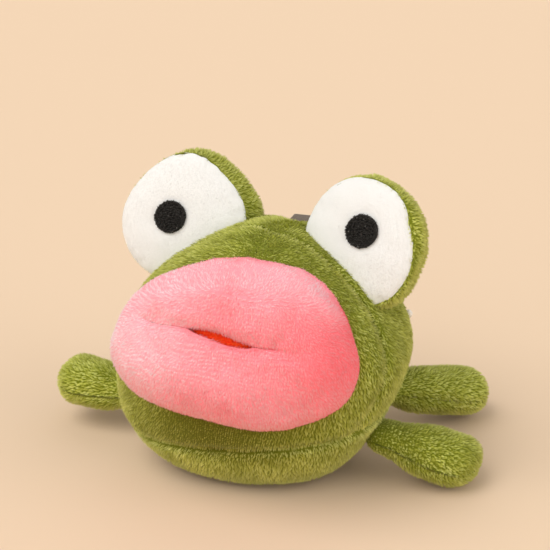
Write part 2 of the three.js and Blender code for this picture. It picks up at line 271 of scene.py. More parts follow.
def grow_pile(
    places, facing, nap, draws, length, width, lean, stitch=1.0, gather=0.7, spread=0.3, sink=0.25,
    glow=0.0, roundness=0.45, plump=0.4, ground=None,
):
    """Locks of fibre, one at each place: slim closed pyramids that lean along the nap.

    length and width are in millimetres and lean is the angle from the skin, one value or one for each
    place. Locks that grow from the same stitch of the knitted backing bend their tips together, by the
    share gather; ground is where they stand on the knitting, in its columns and rows. spread is how far
    the nap strays, sink how deep a lock is rooted and plump how high it is for its width. glow makes
    locks paler, and roundness is how much each is shaded as a round one: near 0, the pile is shaded as
    one soft skin.
    """
    count = len(places)
    ground = places if ground is None else ground
    middle_cell = 4096  # further than the knitting reaches to any side
    cells = np.floor(ground / stitch).astype(np.int64) + middle_cell
    numbers = cells @ (2 * middle_cell) ** np.arange(3)
    member = np.unique(numbers, return_inverse=True)[1]
    stitches = int(member.max()) + 1

    def varied(size):
        return draws.normal(0, size, stitches)[member] + draws.normal(0, size / 2, count)

    length = np.broadcast_to(length, count) * draws.uniform(0.8, 1.15, count)
    width = np.broadcast_to(width, count) * draws.uniform(0.8, 1.2, count)
    lean = np.broadcast_to(lean, count) + varied(0.1)
    nap = swirled(nap, facing, varied(spread))
    across = np.cross(facing, nap)
    rise = nap * np.cos(lean)[:, None] + facing * np.sin(lean)[:, None]
    tips = places + rise * length[:, None]
    sums = np.stack([np.bincount(member, tips[:, k], stitches) for k in range(3)], 1)
    middles = sums / np.bincount(member, minlength=stitches)[:, None]
    tips = tips + (middles[member] - tips) * np.broadcast_to(gather, count)[:, None]
    out = np.cross(across, rise)
    root = places - facing * sink
    corners, shades = [], []
    for angle in (90, 210, 330):
        a = math.radians(angle)
        around = across * math.cos(a) - out * math.sin(a) * plump
        corners.append(root + around * (width / 2)[:, None])
        shades.append(unit(facing + around * roundness))
    # the outer faces are shaded with the skin and the under ones by their own form
    tip_shade = unit(facing * 0.85 + rise * 0.3)
    under = unit(np.cross(corners[2] - corners[1], tips - corners[1]))
    left_roof, right_roof = [shades[0], shades[1], tip_shade], [shades[2], shades[0], tip_shade]
    normals = np.stack([*left_roof, *[under] * 3, *right_roof, *[under] * 3], 1).reshape(-1, 3)
    points = np.stack(corners + [tips], 1).reshape(-1, 3)
    faces = np.array([(0, 1, 3), (1, 2, 3), (2, 0, 3), (0, 2, 1)])
    triangles = (np.arange(count)[:, None, None] * 4 + faces[None]).reshape(-1, 3)
    heights = np.tile([0.0, 0.0, 0.0, 1.0], count)
    locks = np.repeat(0.65 * draws.random(stitches)[member] + 0.35 * draws.random(count) + glow, 4)
    # in the map each lock has a small cell of its own in the right half, root at the bottom
    side = math.ceil(math.sqrt(max(count, 1)))
    cell = np.stack([np.arange(count) % side, np.arange(count) // side], 1) / side
    spots = np.array([(0.1, 0.1), (0.5, 0.1), (0.9, 0.1), (0.5, 0.9)]) / side
    chart = (cell[:, None, :] + spots[None]).reshape(-1, 2) * [0.5, 1] + [0.5, 0]
    return points, triangles, normals, heights, locks, chart


def flat_chart(points, axes):
    """Places of the backing in the left half of the map, laid flat along two axes."""
    flat = points[:, axes]
    low, high = flat.min(0), flat.max(0)
    return 0.01 + 0.98 * (flat - low) / (high - low) * [0.49, 1]


def cloth_piece(name, backing, chart, pile, finish, tone_at=None):
    """One piece of cloth: its backing as a closed sheet, its pile, and a tone at each point, which paints
    shade on the plush and the ribs on the ribbon.

    Each point has a pile_height: -1 on the backing, 0 at a lock's root and 1 at its tip.
    """
    points, triangles, normals = backing
    normals = normals[triangles.ravel()]
    parts = [(points, triangles, normals, np.full(len(points), -1.0), np.full(len(points), 0.5), chart)]
    if pile is not None:
        parts.append(pile)
    total, arrays = 0, []
    for part in parts:
        arrays.append((part[0], part[1] + total, *part[2:]))
        total += len(part[0])
    points, triangles, normals, heights, locks, chart = (np.concatenate(group) for group in zip(*arrays))
    mesh = bpy.data.meshes.new(name)
    mesh.vertices.add(len(points))
    mesh.vertices.foreach_set("co", (points * millimetre).astype(np.float32).ravel())
    mesh.loops.add(3 * len(triangles))
    mesh.loops.foreach_set("vertex_index", triangles.astype(np.int32).ravel())
    mesh.polygons.add(len(triangles))
    mesh.polygons.foreach_set("loop_start", np.arange(0, 3 * len(triangles), 3, dtype=np.int32))
    mesh.update(calc_edges=True)
    tones = np.zeros(len(points)) if tone_at is None else np.clip(tone_at(points), 0, 1)
    for label, values in (("pile_height", heights), ("pile_lock", locks), ("tone_and_shade", tones)):
        mesh.attributes.new(label, "FLOAT", "POINT").data.foreach_set("value", values.astype(np.float32))
    layer = mesh.uv_layers.new(name="OFBake")
    layer.data.foreach_set("uv", chart[triangles.ravel()].astype(np.float32).ravel())
    mesh.shade_smooth()
    mesh.normals_split_custom_set(normals.tolist())
    mesh.materials.append(finish)
    return in_scene(name, mesh)


def backed(name, skin, thickness, axes, pile, finish, tone_at=None):
    """The cloth over a skin, its backing laid flat along two axes for the map."""
    backing = lined(*skin, thickness)
    return cloth_piece(name, backing, flat_chart(backing[0], axes), pile, finish, tone_at)


def fitted(piece, node, body):
    """Puts a piece in its place: hides the node it stands for and attaches the piece to the body it moves
    with.
    """
    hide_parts(node)
    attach(piece, body)


class Wire:
    """A value among some nodes: sums on it add the nodes that work them out."""

    def __init__(self, nodes, socket):
        self.nodes, self.socket = nodes, socket

    def sum(self, operation, first, second):
        return self.nodes.node("ShaderNodeMath", {"operation": operation}, {0: first, 1: second})

    def larger(self, other):
        return self.sum("MAXIMUM", self, other)

    def __add__(self, other):
        return self.sum("ADD", self, other)

    def __mul__(self, other):
        return self.sum("MULTIPLY", self, other)

    __radd__, __rmul__ = __add__, __mul__


def paint(red, green, blue):
    """A colour as a paint card gives it, from 0 to 255, in the renderer's linear light."""
    shares = (channel / 255 for channel in (red, green, blue))
    return tuple(s / 12.92 if s <= 0.04045 else ((s + 0.055) / 1.055) ** 2.4 for s in shares) + (1.0,)


class Nodes:
    """The nodes of a finish or of the studio; each new one is made and wired by node."""

    def __init__(self, tree):
        self.tree = tree

    def node(self, kind, settings=None, sockets=None, out=0):
        made = self.tree.nodes.new(kind)
        for key, value in (settings or {}).items():
            setattr(made, key, value)
        for key, value in (sockets or {}).items():
            if isinstance(value, Wire):
                self.tree.links.new(value.socket, made.inputs[key])
            else:
                made.inputs[key].default_value = value
        return Wire(self, made.outputs[out])


class Finish(Nodes):
    """A material with one surface shader; even values are set on its sockets."""

    def __init__(self, name, **even):
        self.material = bpy.data.materials.new(name)
        self.material.use_nodes = True
        super().__init__(self.material.node_tree)
        self.surface = self.tree.nodes["Principled BSDF"]
        for socket, value in even.items():
            self.surface.inputs[socket.replace("_", " ")].default_value = value

    def place(self):
        return self.node("ShaderNodeTexCoord", out=3)

    def held(self, attribute):
        return self.node("ShaderNodeAttribute", {"attribute_name": attribute}, out=2)

    def noise(self, where, scale, detail=2.0, roughness=0.5):
        sockets = {"Vector": where, "Scale": scale, "Detail": detail, "Roughness": roughness}
        return self.node("ShaderNodeTexNoise", {}, sockets)

    def clamped(self, value, low, high):
        sockets = {"Value": value, "From Min": low, "From Max": high}
        return self.node("ShaderNodeMapRange", {"clamp": True}, sockets)

    def mix(self, share, first, second, blend="MIX"):
        settings = {"data_type": "RGBA", "blend_type": blend}
        return self.node("ShaderNodeMix", settings, {0: share, 6: first, 7: second}, out=2)

    def feed(self, socket, wire):
        self.tree.links.new(wire.socket, self.surface.inputs[socket])

    def bump(self, height, distance, strength=1.0):
        sockets = {"Height": height, "Distance": distance, "Strength": strength}
        self.feed("Normal", self.node("ShaderNodeBump", {}, sockets))


def flecked_finish(name, grain, between, first, second, relief=None, **even):
    """A material flecked between two colours. grain is the flecks' scale, detail and roughness, between
    is where they turn from one colour to the other, and relief their depth and strength."""
    finish = Finish(name, **even)
    flecks = finish.clamped(finish.noise(finish.place(), *grain), *between)
    finish.feed("Base Color", finish.mix(flecks, first, second))
    if relief is not None:
        finish.bump(flecks, *relief)
    return finish.material


def pile_finish(name, backing, root, tip, bright, shade_tint, patch_size, patch_share, fade=0.8, **even):
    """Pile painted darker low between its locks and paler at their tips, as painted shade deep in the pile
    and painted light on the tips, in uneven dye that a tint deepens where each point's tone paints shade.

    bright is the tip of the palest locks, patch_size is in metres, and fade is how far up a lock its
    colour has turned from the root's to the tip's.
    """
    finish = Finish(name, **even)
    where = finish.place()
    height = finish.held("pile_height")
    lock = finish.held("pile_lock")
    # painted shade at the roots and painted light at the tips: up each lock the colour turns from the
    # root's to the tip's
    strand = finish.mix(finish.clamped(height, 0.0, fade), root, tip)
    strand = finish.mix(finish.clamped(lock, 0.4, 1.0) * finish.clamped(height, 0.0, 0.7), strand, bright)
    strand = finish.mix(finish.clamped(lock, 0.45, 0.0) * 0.7, strand, root)
    patches = finish.clamped(finish.noise(where, 1 / patch_size, 3.0), 0.35, 0.65)
    strand = finish.mix(patches * patch_share, strand, root)
    knit = finish.clamped(finish.noise(where, 900.0, 1.0), 0.3, 0.7)
    cloth = finish.mix(knit * 0.35, backing, root)
    whole = finish.mix(finish.clamped(height, -0.6, -0.4), cloth, strand)
    # painted shade: the colour is multiplied by the tint as far as the point's tone reaches
    finish.feed("Base Color", finish.mix(finish.held("tone_and_shade"), whole, shade_tint, "MULTIPLY"))
    finish.bump(finish.noise(where, 2600.0, 2.0), 0.0001, 0.4)
    return finish.material


green_plush = pile_finish(
    "green_plush",
    backing=paint(104, 112, 24),
    root=paint(130, 135, 36),
    tip=paint(212, 214, 95),
    bright=paint(238, 240, 148),
    # the tint that paints the chin darker, as painted shade below the lips
    shade_tint=paint(212, 198, 176),
    patch_size=0.009,
    patch_share=0.4,
    Roughness=0.9,
    Sheen_Weight=0.55,
    Sheen_Roughness=0.45,
    Sheen_Tint=paint(236, 232, 150),
    Specular_IOR_Level=0.1,
)

body_puff = 0.9  # how far a panel swells between its seams
seam_tuck, seam_reach = 2.2, 0.9  # how far the backing turns in at a seam, and how far beside it
valley_depth, valley_reach = 1.3, 4.5  # over the crown the middle seam lies in a shallow valley
pile_density = 5.4  # locks to a square millimetre
pile_length, pile_width, pile_lean = 1.6, 0.38, math.radians(36)
# how far beside a seam the pile is trimmed, stands up, strays and parts, and how far along the belly's seam
# it is painted paler, as painted light bounced up from the floor
trim_reach, raised_reach, stray_pile_reach, parting_reach, floor_light_reach = 0.65, 1.3, 1.2, 1.8, 3.2
knit_pitch, chin_radius = 0.88, 43.0  # from one stitch to the next, and of the round chin
table_gap = 0.05
body_columns, body_rows = 132, 76
resting_height, resting_slope = 1.6, -0.9  # the toy rests on what lies lower and faces down more
resting_share, trimmed_share = 0.3, 0.1  # how many of the locks are left there, and where trimmed


def body_grid(u, v):
    rise = bent(np.sin((v - 0.5) * math.pi), 0.9)
    reach = np.where(rise > 0, crown_height - girth_height, belly_reach) - backing_depth
    return body_at(u * 2 * math.pi, girth_height + reach * rise, -backing_depth)


def seam_distance(points, seams):
    return np.min([np.abs((points - place) @ facing) for place, facing in seams], axis=0)


def pinned_at(points, seams, reach):
    return np.flatnonzero(seam_distance(points, seams) < reach)


def stuffed(obj, pinned, pressure, cap, frames=20, enlarge=10.0):
    """Blows the sewn cover up from inside as cloth. The pinned seams stay, and no point moves past cap.

    The cloth is worked out some times its size, where it holds its threads' length better.
    """
    before = arrays_of(obj)[0]
    mesh = obj.data
    mesh.vertices.foreach_set("co", (before * millimetre * enlarge).ravel())
    seams = obj.vertex_groups.new(name="seams")
    seams.add([int(i) for i in pinned], 1.0, "REPLACE")
    cloth = obj.modifiers.new("stuffing", "CLOTH")
    cloth.settings.vertex_group_mass = "seams"
    cloth.settings.quality = 5
    cloth.settings.mass = 0.05
    cloth.settings.use_pressure = True
    cloth.settings.uniform_pressure_force = pressure
    cloth.settings.effector_weights.gravity = 0
    cloth.collision_settings.use_collision = False
    cloth.point_cache.frame_start, cloth.point_cache.frame_end = 1, frames
    for step in range(1, frames + 1):
        bpy.context.scene.frame_set(step)
    after = arrays_of(obj)[0] / enlarge
    obj.modifiers.remove(cloth)
    bpy.context.scene.frame_set(1)
    move = after - before
    size = np.linalg.norm(move, axis=1, keepdims=True)
    after = before + move * np.minimum(1, cap / np.maximum(size, 1e-9))
    print("STUFFED", obj.name, "moved", round(float(size.max()), 2), "mean", round(float(size.mean()), 2))
    mesh.vertices.foreach_set("co", (after * millimetre).ravel())
    mesh.update()


def panel_of(obj, name, cuts):
    """A copy of the cover cut off at some seams: each cut is a seam and the side that is kept."""
    skin = bmesh.new()
    skin.from_mesh(obj.data)
    for (place, facing), side in cuts:
        bmesh.ops.bisect_plane(
            skin,
            geom=skin.verts[:] + skin.edges[:] + skin.faces[:],
            plane_co=place * millimetre,
            plane_no=facing * side,
            clear_inner=True,
        )
    mesh = bpy.data.meshes.new(name)
    skin.to_mesh(mesh)
    skin.free()
    return in_scene(name, mesh)


lip_turn, lip_height, lip_middle, lip_power, lip_flare = math.radians(59), 50.0, 55.0, 2.6, 0.05
# angle round the lips where the hand-sewn edge strays, and by which share of their size
lip_strays = (
    (36, 0.1), (88, 0.015), (122, -0.055), (165, -0.03),
    (198, 0.02), (230, -0.04), (262, -0.115), (320, -0.02),
)
stray_reach = math.radians(21)


def strayed(angle, strays, reach):
    """How far a sewn edge strays at an angle, from a list of angles in degrees and strays there."""
    total = np.zeros_like(angle)
    for middle, stray in strays:
        gap = (angle - math.radians(middle) + math.pi) % (2 * math.pi) - math.pi
        total += stray * bell(gap, reach)
    return total


def lip_share(turn, height):
    """How far out on the lips a place lies: 0 in their middle and 1 on their sewn edge."""
    x = turn / lip_turn
    z = (height - lip_middle) / (lip_height / 2 * (1 + lip_flare * np.clip(x, -1.5, 1.5)))
    share = (np.abs(x) ** lip_power + np.abs(z) ** lip_power) ** (1 / lip_power)
    angle = np.arctan2(bent(z, lip_power / 2), bent(x, lip_power / 2))
    return share / (1 + strayed(angle, lip_strays, stray_reach))


pod_side, pod_behind, pod_height, pod_stagger = 32.0, 6.7, 81.6, 0.3
pod_pitch, pod_toe_in = math.radians(22), math.radians(7)
seat_radius, seat_start, seat_depth, seat_front, seat_power = 19.0, 6.0, 8.5, 2.0, 2.5
bare_share = 0.94  # the body's pile is pressed away under this share of the lips


def about(axis, angle):
    """The matrix that turns points by an angle about x, y or z."""
    c, s = math.cos(angle), math.sin(angle)
    first, second = {"x": (1, 2), "y": (2, 0), "z": (0, 1)}[axis]
    matrix = np.eye(3)
    matrix[first, first] = matrix[second, second] = c
    matrix[first, second], matrix[second, first] = -s, s
    return matrix


def bare(points):
    """Where the body's cloth lies under the lips or an eye pod and its pile is pressed away."""
    hidden = (lip_share(turn_of(points), points[:, 2]) < bare_share) & (points[:, 1] < 0)
    for side in (-1, 1):
        place = np.array([side * pod_side, pod_behind, pod_height - side * pod_stagger])
        x, y, z = ((points - place) @ (about("z", -side * pod_toe_in) @ about("x", -pod_pitch))).T
        across = (np.hypot(x, z) / seat_radius) ** seat_power
        behind = (np.maximum(0, y - seat_start) / seat_depth) ** seat_power
        before = (np.minimum(0, y) / seat_front) ** 2
        hidden |= across + behind + before < 1
    return hidden


def body_nap(places):
    """The way the body's pile is brushed: down, and away from the middle of the face on the crown."""
    x, height = places @ middle_seam[1], places[:, 2]
    side = np.tanh(x / 5) * (0.2 + 0.5 * smooth(height, 60, 76)) * np.exp(-np.abs(x) / 45)
    return np.stack([side, np.full_like(x, -0.35), np.full_like(x, -1.0)], 1)


def shaded_chin(points):
    """The chin, below the lips, where its pile is pressed and the cloth is painted darker as painted shade.
    """
    chin = smooth(points[:, 2], 12, 20) * (1 - smooth(points[:, 2], 30, 42)) * (points[:, 1] < 0)
    return chin * bell(np.degrees(turn_of(points)), 40)


body_cover = mesh_object("body_cover", *closed_grid(body_columns, body_rows, body_grid))
sewn = pinned_at(arrays_of(body_cover)[0], [belly_seam, middle_seam, side_seam], 1.0)
stuffed(body_cover, sewn, pressure=3.0, cap=body_puff)

body_panels = {
    "front_left_panel": [(belly_seam, 1), (side_seam, 1), (middle_seam, 1)],
    "front_right_panel": [(belly_seam, 1), (side_seam, 1), (middle_seam, -1)],
    "back_left_panel": [(belly_seam, 1), (side_seam, -1), (middle_seam, 1)],
    "back_right_panel": [(belly_seam, 1), (side_seam, -1), (middle_seam, -1)],
    "belly_panel": [(belly_seam, -1)],
}
for number, (node, cuts) in enumerate(body_panels.items()):
    draws = np.random.default_rng(body_seed + number)
    panel = panel_of(body_cover, node + "_cut", cuts)
    points, triangles, normals = arrays_of(panel)
    seams = [seam for seam, side in cuts]
    edges = [seam for seam in seams if seam is not middle_seam]
    tuck = seam_tuck * bell(seam_distance(points, edges), seam_reach, 1.5)
    tuck -= 0.3 * drift(points, 24.0, draws)
    valley = bell(seam_distance(points, [middle_seam]), valley_reach) * smooth(points[:, 2], 62, 80)
    tuck += valley_depth * valley * (points[:, 1] < 30)
    skin = reshape(panel, points - normals * tuck[:, None])
    places, facing = seeds_on(*skin, pile_density, draws)
    # the pile is pressed away where the toy rests, and trimmed along the belly's seam
    resting = (places[:, 2] < resting_height) & (facing[:, 2] < resting_slope)
    keep = ~bare(places) & (~resting | (draws.random(len(places)) < resting_share))
    untrimmed = seam_distance(places, [belly_seam]) > trim_reach
    keep &= untrimmed | (draws.random(len(places)) < trimmed_share)
    places, facing = places[keep], facing[keep]
    near_edge = bell(seam_distance(places, edges), raised_reach)
    near_middle = bell(seam_distance(places, [middle_seam]), stray_pile_reach)
    over_belly = (places - belly_seam[0]) @ belly_seam[1]
    parting = bell(over_belly, parting_reach) * np.sign(over_belly)
    near_lips = smooth(lip_share(turn_of(places), places[:, 2]), 0.95, 1.08)
    chin = shaded_chin(places) * (1 - near_edge)
    length = pile_length * (1 + 0.12 * drift(places, 6.0, draws)) * (0.6 + 0.4 * near_lips)
    length *= (1 + 0.3 * near_edge) * (1 - 0.5 * chin)
    lean = pile_lean + 0.12 * drift(places, 4.0, draws) + 0.6 * near_edge + 0.65 * chin
    swirl = drifts(places, draws, (0.4, 9.0), (0.3, 3.0))
    # the pile parts over the belly's seam
    brushed = unit(body_nap(places)) + 2.5 * parting[:, None] * belly_seam[1]
    nap = swirled(brushed, facing, swirl + near_middle * draws.normal(0, 0.7, len(places)))
    # on the chin the locks stand in the knitting's columns and rows, in a layer of its own
    layer = np.full(len(places), 900.0)
    knitting = np.stack([turn_of(places) * chin_radius, places[:, 2], layer], 1)
    ground = np.where((chin > 0.25)[:, None], knitting, places)
    stitch_middle = -np.cos(2 * math.pi * knitting[:, :2] / knit_pitch) @ [0.65, 0.35]
    length *= 1 - 0.2 * chin * (1 - stitch_middle)
    # the pile is painted paler where it stands up beside the seams, and along the belly's seam as painted
    # light bounced up from the floor; on the chin it is paler in the middle of each stitch, darker between
    # stitches, and darker overall as painted shade below the lips
    glow = 0.4 * near_edge + 0.3 * bell(over_belly, floor_light_reach)
    glow += chin * (0.6 * stitch_middle - 0.2)
    pile = grow_pile(
        places, facing, nap, draws, length, pile_width, lean, stitch=knit_pitch, gather=0.7 + 0.2 * chin,
        glow=glow, ground=ground,
    )
    pile[0][:, 2] = np.maximum(pile[0][:, 2], table_gap)
    axes = [0, 1] if node == "belly_panel" else [0, 2]
    piece = backed(node + "_plush", skin, backing_thickness, axes, pile, green_plush, shaded_chin)
    bpy.data.objects.remove(panel)
    fitted(piece, node, "trunk")
bpy.data.objects.remove(body_cover)


# Lips: one pad of pink short-pile plush, sewn on the front panels round its edge and stuffed.
# A slit is cut in it, its edges are turned in, and the cloth behind is drawn back so that both lips swell.

lip_thickness, lip_swell_power = 9.5, 2.5
slit_height, slit_tilt, slit_turn, slit_lift = 60.5, math.radians(4), math.radians(28), 1.42
slit_shift = 0.045  # the slit sits this much of a turn towards the toy's right
slit_open_share, slit_open_middle = 0.555, 0.156
pucker_depth, pucker_reach, pucker_turn = 5.5, 7.5, math.radians(44)
lip_backing_depth = 0.75
lip_columns, lip_rows = 144, 36
# the pad's edge turns in and is sewn down on the body
lip_edge_drops, lip_edge_sink = (0.3, 0.65, 1.0), 1.2
lip_radius = 46.0  # of the round that the pad lies on
pink_length, pink_width, pink_lean, pink_density, pink_backing = 1.2, 0.28, math.radians(26), 8.0, 0.4
ripple_pitch, ripple_bunch = 1.25, 0.12  # the pile lies in fine wavering rows
# how far beside the slit and how deep under the pad's skin the turned-in edge runs
hem = ((2.4, 2.6), (1.2, 2.3), (0.35, 1.9), (-0.05, 1.3), (-0.1, 0.7), (0.0, 0.25))

pink_plush = pile_finish(
    "pink_plush",
    backing=paint(248, 172, 182),
    root=paint(249, 172, 182),
    tip=paint(252, 229, 233),
    bright=paint(253, 238, 241),
    # the deeper pink in which shade is painted on the lips
    shade_tint=paint(255, 162, 166),
    patch_size=0.012,
    patch_share=0.25,
    fade=0.45,
    Roughness=0.9,
    Specular_IOR_Level=0.03,
)


def slit_line(turn):
    """The height of the slit, which sags a little at both ends."""
    across = body_at(turn, np.full_like(turn, slit_height))[..., 0]
    sag = 0.3 + 1.3 * smooth(turn, -0.1, 0.25) + 1.6 * (1 - smooth(turn, -0.55, -0.25))
    return slit_height - across * math.tan(slit_tilt) - sag


def pucker(turn, away):
    """Soft creases that run out from both corners of the mouth."""
    total = np.zeros_like(turn)
    for side, phase in ((-1, 0.4), (1, 1.9)):
        x, z = (turn + slit_shift - side * slit_turn) * side * lip_radius, away
        distance, angle = np.hypot(x, z), np.arctan2(z, x)
        fold = np.cos(5 * angle + phase) * bell(distance, 8.5) * smooth(distance, 0.4, 3.5)
        crease = 1.1 * np.exp(-np.abs(z) / 1.4) * bell(x, 5.5) * smooth(x, -5, 1)
        total += 0.32 * fold + crease
    return -total


def lip_point(turn, height, depth):
    """A point of the pad at a turn and height, and a depth under the tips of its pile."""
    swell = rounded(np.minimum(lip_share(turn, height), 1), lip_swell_power)
    away = height - slit_line(turn)
    drawn = np.cos(np.clip(turn / pucker_turn, -1, 1) * math.pi / 2) ** 1.3
    dip = bell(away, pucker_reach) * drawn
    along = 1 - smooth(np.abs(turn + slit_shift), slit_turn * 0.35, slit_turn * 1.35)
    upper = 1.5 * bell(away - 3.4, 2.5) * along
    lower = 1.0 * bell(away + 3.0, 2.2) * along
    rise = (lip_thickness - pucker_depth * dip + upper + lower + pucker(turn, away)) * swell - depth
    return body_at(turn, height) + body_normal(turn, height) * rise[..., None]


def slit_edge(angle, widen=0.0):
    """Turn and height of the slit's edge, which gapes in its middle and is pinched at its ends."""
    share = np.cos(angle)
    turn = (slit_turn + widen * 0.022) * share - slit_shift
    gape = rounded((share - slit_open_middle) / slit_open_share, 1.6)
    pinch = 0.1 + 0.1 * smooth(share, 0.5, 0.7)
    lift = (slit_lift * gape + pinch * np.abs(np.sin(angle))) * np.sign(np.sin(angle))
    return turn, slit_line(turn) + lift + widen * np.sin(angle)


def lip_outline(angle, inset):
    edge = 1 + strayed(angle, lip_strays, stray_reach)
    turn = (lip_turn * edge - inset / lip_radius) * bent(np.cos(angle), 2 / lip_power)
    tall = lip_height / 2 * (1 + lip_flare * turn / lip_turn) * edge - inset
    return turn, lip_middle + tall * bent(np.sin(angle), 2 / lip_power)


def lip_sheet():
    angle = angles_round(lip_columns)
    rows = []
    for widen, depth in hem:
        turn, height = slit_edge(angle, widen)
        rows.append(lip_point(turn, height, lip_backing_depth + depth))
    inner_turn, inner_height = slit_edge(angle, 0.15)
    outer_turn, outer_height = lip_outline(angle, lip_backing_depth)
    for row in range(1, lip_rows + 1):
        share = 1 - (1 - row / lip_rows) ** 1.5
        turn = inner_turn + (outer_turn - inner_turn) * share
        height = inner_height + (outer_height - inner_height) * share
        rows.append(lip_point(turn, height, lip_backing_depth))
    edge = rows[-1]
    foot = body_at(outer_turn, outer_height) - body_normal(outer_turn, outer_height) * lip_edge_sink
    rows += [edge + (foot - edge) * drop for drop in lip_edge_drops]
    return np.vstack(rows), band_faces(len(rows), lip_columns, turned=True)


def lip_nap(places):
    """Brushed down over both lips, a little outward, and up along the top edge."""
    turn, height = turn_of(places), places[:, 2]
    upper = smooth(height, lip_middle + 2, lip_middle + 16)
    up = 2 * smooth(lip_share(turn, height), 0.6, 0.95) * upper - 1
    return np.stack([0.9 * np.sin(turn), np.zeros_like(turn), up], 1)


def lip_shade(points):
    """The pink is painted deeper as painted shade: towards the toy's left, which is turned from the light,
    but less high up, where the light falls; also towards the toy's right over its upper half, low down on
    its right and along its lower sewn edge, under the pad. It is also deeper in a few patches."""
    turn, height = np.degrees(turn_of(points)), points[:, 2]
    top, low = smooth(height, 60, 80), 1 - smooth(height, 38, 53)
    tone = 0.54 * smooth(turn, -36, 6) * (1 - 0.7 * top)
    tone += 0.2 * smooth(height, 56, 70) * (1 - smooth(turn, 0, 40))
    tone += 0.38 * smooth(turn, 8, 48) * (1 - top)
    tone += low * (0.3 - 0.3 * smooth(turn, -24, 4) - 0.17 * smooth(turn, 8, 34))
    # painted shadow along the lower sewn edge, under the pad
    sewn_edge = smooth(lip_share(np.radians(turn), height), 0.955, 0.985)
    tone += 0.45 * sewn_edge * (1 - smooth(height, 38, 50))
    # turn, height and reach of the patches painted deeper
    deeper_patches = ((-30, 66, 5), (4, 73, 6), (34, 72, 7), (-6, 41, 5), (8, 40, 5))
    for middle_turn, middle_height, reach in deeper_patches:
        distance = np.hypot((turn - middle_turn) * 0.8, height - middle_height)
        tone += 0.14 * bell(distance, reach)
    return tone


draws = np.random.default_rng(lip_seed)
lips = mesh_object("lip_sheet", *lip_sheet())
hem_rows, all_rows = len(hem) + 2, len(hem) + lip_rows + len(lip_edge_drops)
sewn_rows = [*range(hem_rows), *range(len(hem) + lip_rows - 1, all_rows)]
sewn = [row * lip_columns + column for row in sewn_rows for column in range(lip_columns)]
stuffed(lips, sewn, pressure=2.0, cap=0.6)
points, triangles, normals = arrays_of(lips)
dents = drifts(points, draws, (0.35, 17.0), (0.15, 7.0))
dents *= smooth(np.abs(points[:, 2] - slit_height), 1, 6)
skin = reshape(lips, points + normals * dents[:, None])
places, facing = seeds_on(*skin, pink_density, draws)
wander = places[:, 2] + places[:, 0] * math.tan(slit_tilt) + 1.3 * drift(places, 13.0, draws)
wander += 0.35 * drift(places, 4.0, draws)
rippled = np.clip(0.7 + 0.6 * drift(places, 22.0, draws), 0.2, 1.1)
rippled *= 1 - 0.5 * smooth(turn_of(places), 0.1, 0.7)
phase = 2 * math.pi * wander / ripple_pitch
nap = swirled(lip_nap(places), facing, drifts(places, draws, (0.3, 11.0), (0.2, 3.5)))
places[:, 2] -= ripple_bunch * rippled * np.sin(phase)
ripple = rippled * np.cos(phase)
lean = pink_lean + 0.1 * drift(places, 4.0, draws) + 0.2 * ripple
length = pink_length * (1 - 0.4 * smooth(lip_share(turn_of(places), places[:, 2]), 0.9, 0.98))
# glow paints the rows paler on their crests and darker in their troughs, as painted light and shade over
# rows that are also bunched and leaned
pile = grow_pile(
    places, facing, nap, draws, length, pink_width, lean, stitch=0.75, gather=0.5, spread=0.25, sink=0.15,
    glow=0.5 * ripple, roundness=0.12, plump=0.2,
)
piece = backed("lip_cover_plush", skin, pink_backing, [0, 2], pile, pink_plush, lip_shade)
bpy.data.objects.remove(lips)
fitted(piece, "lip_cover", "trunk")


# Mouth cloth: a strip of orange-red felted cloth behind the slit, caught in its hem on every side.

mouth_columns = 96
mouth_shares = (0.05, 0.3, 0.55, 0.8, 0.93, 1.0)
mouth_overlap = 2.6  # the hem covers this much of the cloth all round
mouth_depth, mouth_rise = 3.3, 0.9  # it lies this deep in its middle, and rises this much to its edge
felt_length, felt_width, felt_lean, felt_density, felt_thickness = 0.6, 0.24, math.radians(40), 9.0, 0.5

mouth_felt = flecked_finish(
    "mouth_felt", (1400.0, 3.0, 0.6), (0.35, 0.7), paint(255, 48, 12), paint(255, 100, 40), (0.0002, 0.8),
    Roughness=0.9, Specular_IOR_Level=0.1, Sheen_Weight=0.1,
)

angle = angles_round(mouth_columns)
rings = []
for share in mouth_shares:
    turn, height = slit_edge(angle, mouth_overlap)
    away = (height - slit_line(turn)) * share
    turn = turn * share
    depth = mouth_depth - mouth_rise * smooth(share, 0.8, 1.0)
    rings.append(lip_point(turn, slit_line(turn) + away, np.full_like(turn, depth)))
faces = band_faces(len(rings), mouth_columns, turned=True)
faces.append(tuple(range(mouth_columns)))
mouth = mesh_object("mouth_sheet", np.vstack(rings), faces)
skin = arrays_of(mouth)
places, facing = seeds_on(*skin, felt_density, draws)
down = np.tile([0.0, 0.0, -1.0], (len(places), 1))
pile = grow_pile(places, facing, down, draws, felt_length, felt_width, felt_lean, spread=0.9, sink=0.1)
piece = backed("mouth_cloth_felt", skin, felt_thickness, [0, 2], pile, mouth_felt)
bpy.data.objects.remove(mouth)
fitted(piece, "mouth_lining", "trunk")


# Eye pods: a disc of white velour sewn round its edge to a fuller cup of green plush, stuffed and
# sewn to the top of the body. The embroidered pupil draws the white cloth in a little round it.

face_dome, face_power = 5.0, 2.2
pod_rim, pod_flare, pod_back, pod_power = 2.6, 7.5, 10.0, 2.5
pod_lean = 2.0
pupil_radius, pupil_shift = 5.6, 3.0
white_depth = 0.35  # the white backing lies this far under the tips of its pile
white_length, white_width, white_lean, white_density, white_backing = 0.6, 0.26, math.radians(18), 8.0, 0.4
pod_columns, face_rows, cup_rows = 108, 26, 30
pull_reach = math.radians(30)
# cloth that lies deeper in the body than this is left out, and pile doesn't grow so deep
white_buried, green_buried, white_pile_buried, green_pile_buried = 2.5, 3.0, 0.4, 0.8
